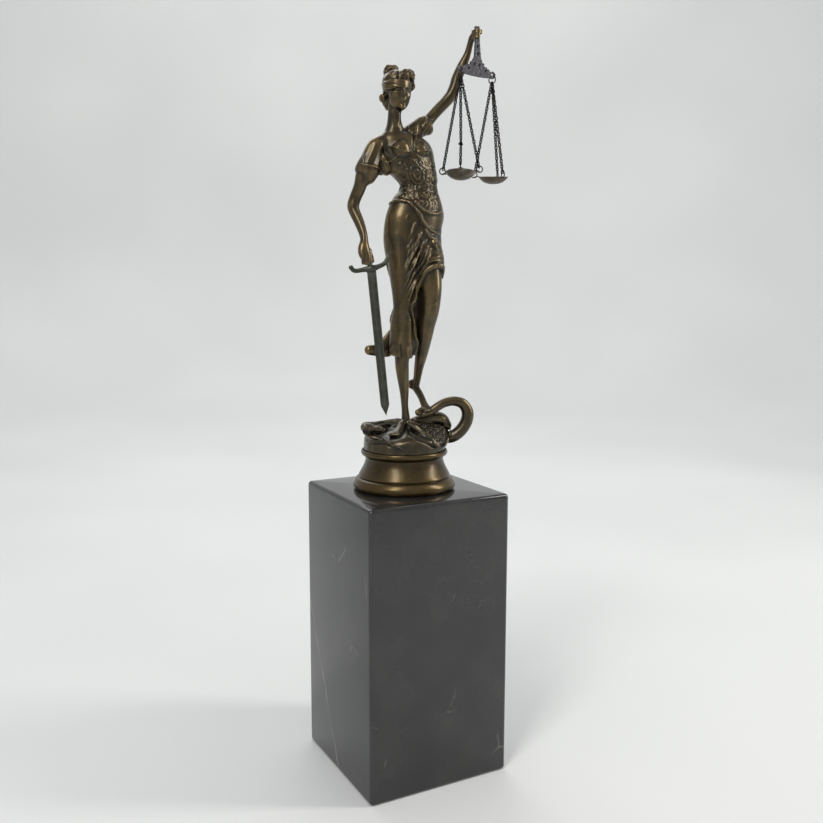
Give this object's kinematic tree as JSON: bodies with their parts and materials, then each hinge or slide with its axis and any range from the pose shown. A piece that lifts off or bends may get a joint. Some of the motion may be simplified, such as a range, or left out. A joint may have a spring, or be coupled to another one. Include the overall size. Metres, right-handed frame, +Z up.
{
  "type": "lady justice statue",
  "caption": "Blindfolded robed figure with a raised balance and a lowered sword, on a mound with a snake and an open book, on a turned socle and a tall square block.",
  "frame": {"origin": "centre of the block's underside", "axes": "+Z up, the figure faces -Y, its left hand with the balance is on the +X side"},
  "size_m": [0.0972, 0.0816, 0.3967],
  "materials": {
    "black_marble": "polished black marble",
    "bronze": "dark brown patinated bronze, worn golden on the high places",
    "dark_steel": "dark grey patina",
    "grey_cast_metal": "dull grey cast metal",
    "chain_wire": "blackened wire"
  },
  "bodies": {
    "root": {"plinth": "black_marble", "socle": "bronze", "figure": "bronze", "sword": "dark_steel", "balance_beam": "grey_cast_metal", "beam_ring_1": "chain_wire", "beam_ring_2": "chain_wire", "pan_1": "grey_cast_metal", "pan_2": "grey_cast_metal", "pan_ring_1": "chain_wire", "pan_ring_2": "chain_wire", "pan_ring_3": "chain_wire", "pan_ring_4": "chain_wire", "pan_ring_5": "chain_wire", "pan_ring_6": "chain_wire", "chain_1": "chain_wire", "chain_2": "chain_wire", "chain_3": "chain_wire", "chain_4": "chain_wire", "chain_5": "chain_wire", "chain_6": "chain_wire"}
  },
  "joints": []
}
